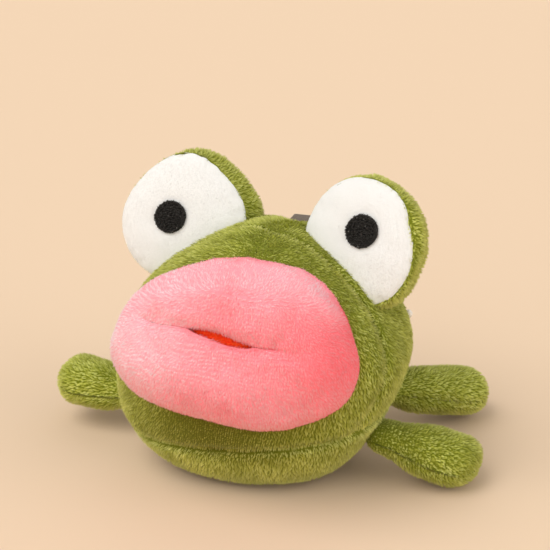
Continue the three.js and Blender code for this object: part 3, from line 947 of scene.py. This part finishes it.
# side, radius of the disc, way the pupil sits off, and where the hand-sewn edge is pulled out or in
eyes = {
    "left": (1, 20.2, 28, ((116, 1.2), (-58, 2.2), (20, -2.3))),
    "right": (-1, 21.7, 85, ((85, 1.9), (10, 1.4), (46, -0.9), (140, -0.9))),
}

white_velour = pile_finish(
    "white_velour",
    backing=paint(230, 229, 226),
    root=paint(228, 227, 224),
    tip=paint(234, 233, 231),
    bright=paint(238, 237, 235),
    shade_tint=paint(240, 232, 222),
    patch_size=0.03,
    patch_share=0.1,
    Roughness=0.85,
    Sheen_Weight=0.15,
    Sheen_Roughness=0.5,
    Specular_IOR_Level=0.1,
)

black_thread = Finish("black_thread", Roughness=0.45, Specular_IOR_Level=0.3)
where = black_thread.place()
plies = black_thread.clamped(black_thread.noise(where, 2500.0, 2.0), 0.35, 0.75)
# painted glints: pale specks in the black thread that stand in for glints of light
painted_glints = black_thread.clamped(black_thread.noise(where, 1300.0, 1.0), 0.7, 0.76)
thread = black_thread.mix(plies, paint(4, 4, 4), paint(22, 22, 23))
black_thread.feed("Base Color", black_thread.mix(painted_glints, thread, paint(110, 108, 104)))
black_thread.feed("Roughness", plies * 0.25 + 0.35)
black_thread.bump(plies, 0.0001, 0.5)


def seen_skin(sheet, outward, limit):
    """A sheet's skin with its normals on the outward side, without what is buried deeper than a limit."""
    points, triangles, normals = arrays_of(sheet)
    bpy.data.objects.remove(sheet)
    if (normals @ outward).sum() < 0:
        triangles, normals = triangles[:, ::-1], -normals
    gap = outside_body(points)
    kept = triangles[(gap[triangles] > -limit).any(1)]
    used = np.unique(kept)
    renamed = np.full(len(points), -1)
    renamed[used] = np.arange(len(used))
    return points[used], renamed[kept], normals[used]


class Pod:
    """One eye: its place on the body and the form of its white face and green cup."""

    def __init__(self, name, side, radius, pupil_lean, pulls, draws):
        self.name, self.side, self.radius, self.pulls, self.draws = name, side, radius, pulls, draws
        self.place = np.array([side * pod_side, pod_behind, pod_height - side * pod_stagger])
        self.matrix = about("z", -side * pod_toe_in) @ about("x", -pod_pitch)
        pupil_lean = math.radians(pupil_lean)
        self.pupil = (side * pupil_shift * math.sin(pupil_lean), pupil_shift * math.cos(pupil_lean))

    def posed(self, points):
        return points @ self.matrix.T + self.place

    def edge_at(self, angle):
        """Radius of the sewn edge at an angle round the disc."""
        return self.radius + strayed(angle, self.pulls, pull_reach)

    def rim_at(self, angle):
        """How far the cup stands out beyond the disc; it is drawn in on the toy's right side."""
        inset = np.maximum(0, self.radius - self.edge_at(angle))
        return pod_rim * (1 - 0.95 * np.maximum(0, -np.cos(angle)) ** 0.7) + inset

    def face_depth(self, x, z):
        """How far forward the white cloth lies at a place on the disc."""
        radius, edge = np.hypot(x, z), self.edge_at(np.arctan2(z, x))
        rise = face_dome * rounded(np.minimum(radius / edge, 1), face_power)
        away = np.hypot(x - self.pupil[0], z - self.pupil[1])
        dimple = 0.45 * bell(away, 7.2, 4) + 0.12 * bell(away - 6.1, 0.8)
        return rise - dimple * smooth(edge - radius, 0, 6)

    def white_face(self):
        turn = angles_round(pod_columns)
        edge = np.arange(1, face_rows + 1)[:, None] / face_rows
        radius = (self.edge_at(turn) - 0.3) * (1 - (1 - edge) ** 1.35)
        x, z = disc_points(radius, turn)
        out = np.append(0.0, np.broadcast_to(edge, (face_rows, pod_columns)).ravel())
        angle = np.arctan2(z, x)
        gathers = 0.12 * smooth(out, 0.75, 0.97) * np.sin(angle * 21 + 2 * np.sin(angle * 5))
        y = -(self.face_depth(x, z) - white_depth + gathers)
        points = np.stack([x, y, z], 1)
        points[:, 1] += 0.15 * drift(points, 9.0, self.draws)
        faces = fan_faces(pod_columns) + band_faces(face_rows, pod_columns, first=1, turned=True)
        sheet = mesh_object("eye_sheet", self.posed(points), faces)
        first = 1 + (face_rows - 1) * pod_columns
        distance = np.hypot(x - self.pupil[0], z - self.pupil[1])
        stitched = list(range(first, len(points))) + np.flatnonzero(distance < pupil_radius).tolist()
        stuffed(sheet, stitched, pressure=1.5, cap=0.4)
        skin = seen_skin(sheet, self.matrix @ np.array([0, -1.0, 0]), white_buried)
        places, facing = seeds_on(*skin, white_density, self.draws)
        middle = self.posed(np.array([[self.pupil[0], -4.0, self.pupil[1]]]))[0]
        clear = np.linalg.norm(places - middle, axis=1) > pupil_radius * 0.94
        keep = clear & (outside_body(places) > -white_pile_buried)
        places, facing = places[keep], facing[keep]
        down = np.tile([0.25 * self.side, 0.0, -1.0], (len(places), 1))
        nap = swirled(down, facing, 0.5 * drift(places, 12.0, self.draws))
        pile = grow_pile(
            places, facing, nap, self.draws, white_length, white_width, white_lean, stitch=0.5, gather=0.0,
            spread=0.4, sink=0.1,
        )
        return backed(f"{self.name}_eye_velour", skin, white_backing, [0, 2], pile, white_velour)

    def cup_profile(self, share, angle):
        """Radius and depth of the green cup, from its rolled front edge to the middle of its back."""
        disc, rim = self.edge_at(angle), self.rim_at(angle)
        roll, rest = 0.35, 0.65  # the shares of the profile before and behind the cup's widest line
        turned_in = 0.9  # how far the front edge is rolled in and forward
        rolled = share <= roll
        flare = np.clip(share / roll, 0, 1) * math.pi / 2
        turn = np.clip((share - roll) / rest, 0, 1) * math.pi / 2
        front_radius = disc - turned_in + (rim + turned_in) * np.sin(flare)
        radius = np.where(rolled, front_radius, (disc + rim) * np.cos(turn) ** (2 / pod_power))
        front_depth = (pod_flare + turned_in) * (1 - np.cos(flare)) - turned_in
        back = np.where(rolled, front_depth, pod_flare + pod_back * np.sin(turn) ** (2 / pod_power))
        inset = backing_depth * smooth(share, 0.02, 0.15)
        return np.maximum(radius - inset, 0), back - backing_depth * smooth(share, 0.5, 1.0)

    def green_cup(self):
        turn = angles_round(pod_columns)
        radius, back = self.cup_profile(np.arange(cup_rows)[:, None] / cup_rows, turn[None, :])
        lean = -self.side * pod_lean * smooth(back, 0, pod_flare)
        rings = [radius * np.cos(turn) + lean, back + 0 * turn, radius * np.sin(turn)]
        points = np.stack([ring.ravel() for ring in rings], 1)
        points = np.vstack([points, [-self.side * pod_lean, pod_flare + pod_back - backing_depth, 0]])
        points[:, 1] += 0.3 * drift(points, 12.0, self.draws) * smooth(points[:, 1], 1, 5)
        faces = band_faces(cup_rows, pod_columns)
        last = (cup_rows - 1) * pod_columns
        faces += [(last + c, last + (c + 1) % pod_columns, len(points) - 1) for c in range(pod_columns)]
        sheet = mesh_object("eye_cup", self.posed(points), faces)
        stuffed(sheet, list(range(2 * pod_columns)), pressure=2.0, cap=0.5)
        backward = self.matrix @ np.array([0, 1.0, 0])
        skin = seen_skin(sheet, backward, green_buried)
        places, facing = seeds_on(*skin, pile_density, self.draws)
        keep = outside_body(places) > -green_pile_buried
        places, facing = places[keep], facing[keep]
        nap = np.tile(backward, (len(places), 1)) + np.array([0, 0, -0.45])
        nap = swirled(nap, facing, drifts(places, self.draws, (0.35, 7.0), (0.2, 3.0)))
        lean = pile_lean + 0.15 * drift(places, 4.0, self.draws)
        spot = (places - self.place) @ self.matrix
        rim_share = np.minimum(1, self.rim_at(np.arctan2(spot[:, 2], spot[:, 0])) / pod_rim)
        length = pile_length * (0.5 + 0.5 * rim_share)
        pile = grow_pile(places, facing, nap, self.draws, length, pile_width, lean)
        name = f"{self.name}_eye_plush"
        return backed(name, skin, backing_thickness, [0, 2], pile, green_plush, shaded_chin)

    def stitched_pupil(self):
        """A mat of short black stitches, each a raised thread, and a satin ring of radial ones round it."""
        pitch, stitch, inner = 0.5, 1.3, pupil_radius - 0.3
        thread_radius, fabric, mat_thickness = 0.25, 0.2, 0.5
        rows = np.arange(-inner, inner, pitch)
        x, z = (grid.ravel() for grid in np.meshgrid(rows, rows))
        x, z = (grid + self.draws.uniform(-0.2, 0.2, len(grid)) for grid in (x, z))
        inside = np.hypot(x, z) < inner - 0.35
        middles = np.stack([x, z], 1)[inside]
        angle = math.radians(25) + self.draws.normal(0, 0.5, len(middles))
        half = stitch / 2 * self.draws.uniform(0.75, 1.15, len(middles))
        reach = np.stack([np.cos(angle), np.sin(angle)], 1) * half[:, None]
        starts, ends = middles - reach, middles + reach
        ring = 84
        angle = (np.arange(ring) + self.draws.uniform(-0.3, 0.3, ring)) / ring * 2 * math.pi
        out = np.stack([np.cos(angle), np.sin(angle)], 1)
        inner_ends = pupil_radius - 1.1 + self.draws.uniform(-0.15, 0.15, (ring, 1))
        outer_ends = pupil_radius + self.draws.uniform(-0.1, 0.3, (ring, 1))
        starts, ends = np.vstack([starts, out * inner_ends]), np.vstack([ends, out * outer_ends])
        count, steps, sides = len(starts), 5, 6
        run = np.linspace(0, 1, steps)
        girth = thread_radius * np.array([0.4, 0.9, 1.0, 0.9, 0.4])
        arch = np.array([-0.2, 0.16, 0.3, 0.16, -0.2])
        flat = starts[:, None] + (ends - starts)[:, None] * run[None, :, None]
        heading = unit(ends - starts)
        cross = np.stack([-heading[:, 1], heading[:, 0]], 1)
        high = arch[None] + self.draws.uniform(0, 0.4, (count, 1))
        rings = []
        for angle in angles_round(sides):
            spot = flat + cross[:, None] * (girth * math.cos(angle))[None, :, None]
            x, z = spot[..., 0] + self.pupil[0], spot[..., 1] + self.pupil[1]
            y = -(self.face_depth(x, z) + 0.3 + high + girth[None] * math.sin(angle))
            rings.append(np.stack([x, y, z], -1))
        points = np.stack(rings, 2).reshape(-1, 3)
        faces = []
        for step in range(steps - 1):
            for k in range(sides):
                a, b = step * sides + k, step * sides + (k + 1) % sides
                faces += [(a, b, b + sides), (a, b + sides, a + sides)]
        base = (steps - 1) * sides
        for k in range(1, sides - 1):
            faces += [(0, k + 1, k), (base, base + k, base + k + 1)]
        firsts = np.arange(count)[:, None, None] * steps * sides
        triangles = (firsts + np.array(faces)[None]).reshape(-1, 3)
        columns, rounds = 48, 5
        turn = angles_round(columns)
        radius = (pupil_radius - 0.1) * np.arange(1, rounds + 1)[:, None] / rounds
        x, z = (flat + middle for flat, middle in zip(disc_points(radius, turn), self.pupil))
        mat = np.stack([x, -(self.face_depth(x, z) + fabric), z], 1)
        mat_faces = fan_faces(columns)
        for a, b, c, d in band_faces(rounds, columns, first=1):
            mat_faces += [(a, d, c), (a, c, b)]
        forward = np.tile([0.0, -1.0, 0.0], (len(mat), 1))
        mat, mat_faces, mat_normals = lined(mat, np.array(mat_faces), forward, mat_thickness)
        thread = mesh_object("threads", points, triangles)
        thread_normals = arrays_of(thread)[2]
        bpy.data.objects.remove(thread)
        everything = self.posed(np.vstack([mat, points]))
        normals = np.vstack([mat_normals, thread_normals]) @ self.matrix.T
        chart = np.vstack([mat[:, [0, 2]], points[:, [0, 2]]])
        chart = (chart - chart.min(0)) / (chart.max(0) - chart.min(0)) * 0.98 + 0.01
        skin = (everything, np.vstack([mat_faces, triangles + len(mat)]), normals)
        return cloth_piece(f"{self.name}_pupil_stitches", skin, chart, None, black_thread.material)


for number, (eye, sizes) in enumerate(eyes.items()):
    pod = Pod(eye, *sizes, np.random.default_rng(eye_seed + number))
    fitted(pod.white_face(), f"{eye}_eye_face", "trunk")
    fitted(pod.green_cup(), f"{eye}_eye_back", "trunk")
    fitted(pod.stitched_pupil(), f"{eye}_pupil", "trunk")


# Flippers: each is a top and an underside of green plush sewn together round the edge, stuffed,
# and sewn to the body at its narrow root.

front_length, rear_length = 30.5, 41.0
root_radius, root_width, flipper_width, flipper_thickness = 6.0, 16.0, 24.0, 18.0
root_puff = 0.8  # how much fuller the stuffed root stands than it was cut
flare_length, tip_length, tip_power, flipper_power, flipper_sweep = 12.0, 10.0, 2.4, 2.1, 5.0
seat_gap = 0.3
flipper_columns, flipper_rows = 48, 36
root_reach = 3.5  # how far the cover is drawn in under the body's cloth
# side, turn and height of the root, droop and length
flippers = {
    "front_left": (1, math.radians(91), 17.4, math.radians(14), front_length),
    "front_right": (-1, math.radians(97), 17.4, 0.0, front_length),
    "rear_left": (1, math.radians(133), 19.6, math.radians(12), rear_length),
    "rear_right": (-1, math.radians(133), 19.6, math.radians(12), rear_length),
}


def flipper_point(u, v, length, grow):
    """A point of a flipper's skin along x: v runs from its root to its tip and u round it."""
    back = root_radius + root_reach + grow
    along = -back + (length + back + grow) * ((1 - np.cos(v * math.pi)) / 2)
    tip = rounded(np.clip((along - length + tip_length) / (tip_length + grow), 0, 1), tip_power)
    flare, spread = smooth(along, 0, flare_length), smooth(along, 0, length - tip_length)
    root = np.where(along < 0, rounded(np.clip(along / back, -1, 0), 3), 1)
    thick = (root_radius + (flipper_thickness / 2 - root_radius) * flare + grow) * root * tip
    thick += root_puff * bell(along - 3, 6) * root
    wide = (root_width / 2 + (flipper_width - root_width) / 2 * spread + grow) * tip * root
    angle = u * 2 * math.pi
    sweep = flipper_sweep * np.maximum(0, along / length) ** 2
    y = wide * bent(np.cos(angle), 2 / flipper_power) + sweep
    return np.stack([along, y, thick * bent(np.sin(angle), 2 / flipper_power)], -1)


for number, (limb, (side, turn, height, droop, length)) in enumerate(flippers.items()):
    draws = np.random.default_rng(flipper_seed + number)
    out = body_normal(np.array(side * turn), np.array(height))
    place = body_at(np.array(side * turn), np.array(height)) + out * (root_radius + seat_gap)
    matrix = about("z", math.atan2(out[1], out[0])) @ about("y", droop)

    def skin_at(u, v):
        points = flipper_point(u, v, length, -backing_depth)
        points[:, 1] *= side
        return points @ matrix.T + place

    points, faces = closed_grid(flipper_columns, flipper_rows, skin_at)
    if side < 0:
        faces = [face[::-1] for face in faces]
    cover = mesh_object("flipper_cover", points, faces)
    edge_seam = (place, matrix @ np.array([0, 0, 1.0]))
    heading = matrix @ np.array([1.0, 0, 0])
    stuffed(cover, pinned_at(points, [edge_seam], 0.6), pressure=2.0, cap=0.5)
    for part, kept_side in (("top", 1), ("underside", -1)):
        panel = panel_of(cover, "flipper_panel", [(edge_seam, kept_side)])
        points, triangles, normals = arrays_of(panel)
        distance = seam_distance(points, [edge_seam])
        along = (points - place) @ heading
        tuck = 0.4 * smooth(along, 0.5, 6) * bell(distance, 1.2, 1.5)
        tuck -= 0.25 * drift(points, 13.0, draws) * smooth(distance, 0, 3)
        skin = reshape(panel, points - normals * tuck[:, None])
        places, facing = seeds_on(*skin, pile_density, draws)
        keep = (places - place) @ heading > -root_radius - 1
        places, facing = places[keep], facing[keep]
        along = (places - place) @ heading
        nap = np.tile(heading, (len(places), 1)) + np.array([0, 0, -0.2])
        near_seam = bell(seam_distance(places, [edge_seam]), 1.4)
        swirl = drifts(places, draws, (0.4, 7.0), (0.25, 3.0))
        nap = swirled(nap, facing, swirl + near_seam * draws.normal(0, 0.6, len(places)))
        lean = pile_lean + 0.14 * drift(places, 4.0, draws) + 0.2 * near_seam
        length_here = pile_length * (0.6 + 0.4 * smooth(along, -2.0, 5.0))
        pile = grow_pile(places, facing, nap, draws, length_here, pile_width, lean)
        pile[0][:, 2] = np.maximum(pile[0][:, 2], table_gap)
        node = f"{limb}_flipper_{part}"
        piece = backed(f"{node}_plush", skin, backing_thickness, [0, 1], pile, green_plush)
        bpy.data.objects.remove(panel)
        fitted(piece, node, f"{limb}_flipper")
    bpy.data.objects.remove(cover)


# Hang loop: a brown ribbon with fine cross ribs, folded double and sewn in behind the crown.

loop_width, loop_thickness, loop_rise, loop_slot = 7.0, 0.8, 9.0, 0.8
loop_place, loop_lean = np.array([-2.5, 41.031, 72.99]), math.radians(84)
rib_pitch = 0.55

brown_ribbon = Finish("brown_ribbon", Roughness=0.55, Specular_IOR_Level=0.35, Sheen_Weight=0.2)
where = brown_ribbon.place()
ribs = brown_ribbon.held("tone_and_shade")
weft = brown_ribbon.clamped(brown_ribbon.noise(where, 1800.0, 2.0), 0.3, 0.7)
woven = brown_ribbon.mix(ribs, paint(58, 48, 42), paint(112, 98, 86))
brown_ribbon.feed("Base Color", brown_ribbon.mix(weft * 0.4, woven, paint(84, 72, 62)))
brown_ribbon.bump(weft, 0.00008, 0.6)

# the ribbon's middle line: up, round, down and round again
radius = loop_slot / 2 + loop_thickness / 2
straight = loop_rise - loop_slot / 2 - loop_thickness
arc = math.pi * radius
path_length = 2 * straight + 2 * arc
steps, sides = 168, 14
run = np.arange(steps) / steps * path_length
ribbing = 0.5 + 0.5 * np.cos(2 * math.pi * np.arange(steps) / steps * round(path_length / rib_pitch))
turned = np.clip((run - straight) / radius, 0, math.pi) + np.maximum(0, run - 2 * straight - arc) / radius
risen = np.clip(run, 0, straight) - np.clip(run - straight - arc, 0, straight)
rows = []
for rib, turn, rise in zip(ribbing, turned, risen):
    for angle in angles_round(sides):
        across = bent(math.cos(angle), 0.25) * loop_width / 2
        over = radius + bent(math.sin(angle), 0.6) * (loop_thickness / 2 - 0.06 + 0.05 * rib)
        rows.append((across, over * math.cos(turn), rise + over * math.sin(turn)))
points = np.array(rows) @ about("x", -loop_lean).T + loop_place
triangles = []
for k in range(steps):
    for a, b, c, d in ring_faces(k * sides, (k + 1) % steps * sides, sides):
        triangles += [(a, c, b), (a, d, c)]
ribbon = mesh_object("ribbon", points, triangles)
chart = np.stack([np.repeat(run / path_length, sides), np.tile(np.arange(sides) / sides, steps)], 1)
rib_tone = np.repeat(ribbing, sides)
skin, woven_in = arrays_of(ribbon), brown_ribbon.material
piece = cloth_piece("hang_loop_ribbon", skin, chart, None, woven_in, lambda points: rib_tone)
bpy.data.objects.remove(ribbon)
fitted(piece, "hang_loop", "loop")


# Bead: a small pearly bead sewn on the left flank, with a hole through its middle for the thread.

bead_radius, bead_turn, bead_height, bead_hole = 1.6, math.radians(128), 47.4, 0.26
bead_sunk = 0.6  # the thread draws the bead this far into the pile
bead_columns, bead_rows = 28, 18

pearl = flecked_finish(
    "pearl", (900.0, 3.0), (0.3, 0.7), paint(236, 226, 214), paint(250, 244, 238),
    Roughness=0.22, Coat_Weight=0.6, Coat_Roughness=0.12, Specular_IOR_Level=0.5,
)

bead_normal = body_normal(np.array(bead_turn), np.array(bead_height))
bead_place = body_at(np.array(bead_turn), np.array(bead_height)) + bead_normal * (bead_radius - bead_sunk)
profile = []
for row in range(bead_rows + 1):
    angle = row / bead_rows * math.pi
    profile.append((max(bead_hole, bead_radius * math.sin(angle)), bead_radius * 0.94 * math.cos(angle)))
profile += [(bead_hole * 0.9, bead_radius * share) for share in (-0.5, 0.0, 0.5)]
turn = angles_round(bead_columns)
rings = [np.stack([r * np.cos(turn), r * np.sin(turn), 0 * turn + h], 1) for r, h in profile]
faces = []
for row in range(len(profile)):
    following = (row + 1) % len(profile)
    faces += [face[::-1] for face in ring_faces(row * bead_columns, following * bead_columns, bead_columns)]
bead = mesh_object("bead", np.vstack(rings) + bead_place, faces)
around = np.tile(np.arange(bead_columns) / bead_columns, len(profile))
along = np.repeat(np.arange(len(profile)) / len(profile), bead_columns)
chart = np.stack([around, along], 1)
piece = cloth_piece("flank_bead_pearl", arrays_of(bead), chart, None, pearl)
bpy.data.objects.remove(bead)
fitted(piece, "flank_bead", "trunk")


# Fillings: wads of polyester fibre inside every cover.
# Nothing of them shows, but each is there in its place.

body_voxel, small_voxel = 2.2, 1.4
pod_shrink, wad_shrink = 3.2, 1.2  # how far a wad stays inside the form it was cut for

fibre_filling = flecked_finish(
    "fibre_filling", (500.0, 4.0, 0.65), (0.3, 0.7), paint(226, 223, 218), paint(248, 246, 242),
    (0.0004, 0.7), Roughness=0.95, Specular_IOR_Level=0.1,
)

filling_bodies = {"body_filling": "trunk", "lip_filling": "trunk"}
filling_bodies |= {f"{eye}_eye_filling": "trunk" for eye in eyes}
filling_bodies |= {f"{limb}_flipper_filling": f"{limb}_flipper" for limb in flippers}
for number, (node, body) in enumerate(filling_bodies.items()):
    draws = np.random.default_rng(filling_seed + number)
    points, triangles, normals = arrays_of(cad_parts[node])
    wad = mesh_object(node + "_wad", points, triangles)
    remesh = wad.modifiers.new("wadding", "REMESH")
    voxel = body_voxel if node == "body_filling" else small_voxel
    remesh.mode, remesh.voxel_size = "VOXEL", voxel * millimetre
    points, triangles, normals = arrays_of(wad)
    bpy.data.objects.remove(wad)
    shrink = (pod_shrink if "eye" in node else wad_shrink) + 0.3 * drift(points, 5.0, draws)
    points = points - normals * shrink[:, None]
    if node == "lip_filling":
        # the wad is pushed back behind the mouth
        turn = turn_of(points)
        near = bell(points[:, 2] - slit_line(turn), 7) * (1 - smooth(np.abs(turn), 0.7, 0.9))
        inward = body_normal(turn, points[:, 2]) * np.maximum(0, outside_body(points))[:, None]
        points = points - inward * (0.8 * near)[:, None]
    skin = (points, triangles, normals)
    chart = flat_chart(points, [0, 2])
    piece = cloth_piece(node + "_fibre", skin, chart, None, fibre_filling)
    fitted(piece, node, body)


# Studio: a plain pale floor, soft daylight from four sides with the brightest window high in front on
# the left, pale walls all round, and the camera where the photographer stood.

floor_reach = 4000
floor_corners = ((-1, -1), (1, -1), (1, 1), (-1, 1))
floor_points = [(x * floor_reach, y * floor_reach, 0) for x, y in floor_corners]
floor = mesh_object("floor", floor_points, [(0, 1, 2, 3)])
floor_finish = Finish("floor_paper", Base_Color=paint(228, 201, 172), Roughness=0.9, Specular_IOR_Level=0.1)
floor.data.materials.append(floor_finish.material)


def soft_sun(name, place, spread, strength, colour):
    light = bpy.data.lights.new(name, "SUN")
    light.angle, light.energy, light.color = math.radians(spread), strength, colour
    lamp = in_scene(name, light)
    lamp.location = place
    lamp.rotation_euler = (-Vector(place)).to_track_quat("-Z", "Y").to_euler()


soft_sun("window", (-0.42, -0.42, 0.8), 50, 1.7, (1.0, 0.99, 0.97))
soft_sun("front_window", (-0.1, -0.92, 0.3), 60, 1.0, (1.0, 0.985, 0.96))
soft_sun("side_window", (0.92, -0.12, 0.35), 60, 1.1, (1.0, 0.985, 0.96))
soft_sun("back_window", (-0.3, 0.75, 0.6), 60, 0.3, (1.0, 0.99, 0.97))

world = bpy.data.worlds.new("studio")
bpy.context.scene.world = world
world.use_nodes = True
studio = Nodes(world.node_tree)
walls = studio.tree.nodes["Background"]
walls.inputs["Color"].default_value = (1.0, 0.99, 0.975, 1)
walls.inputs["Strength"].default_value = 0.45
# behind the floor's far edge stands paper of the colour in which the floor is seen
backdrop = studio.node("ShaderNodeBackground", {}, {"Color": paint(245, 217, 186)})
seen = studio.node("ShaderNodeLightPath", out="Is Camera Ray")
for ray in ("Is Glossy Ray", "Is Transmission Ray"):
    seen = seen.larger(studio.node("ShaderNodeLightPath", out=ray))
shaders = {0: seen, 1: Wire(studio, walls.outputs[0]), 2: backdrop}
sky = studio.node("ShaderNodeMixShader", {}, shaders)
studio.tree.links.new(sky.socket, studio.tree.nodes["World Output"].inputs["Surface"])

camera_data = bpy.data.cameras.new("camera")
camera_data.lens, camera_data.sensor_width = 86.6, 36.0
camera_data.clip_start, camera_data.clip_end = 0.01, 20.0
camera = in_scene("camera", camera_data)
camera.location = (0.1470, -0.3919, 0.2118)
camera_target = (0.00145, 0.00795, 0.06526)
camera.rotation_euler = (Vector(camera_target) - camera.location).to_track_quat("-Z", "Y").to_euler()
bpy.context.scene.camera = camera
bpy.context.scene.view_settings.view_transform = "Standard"
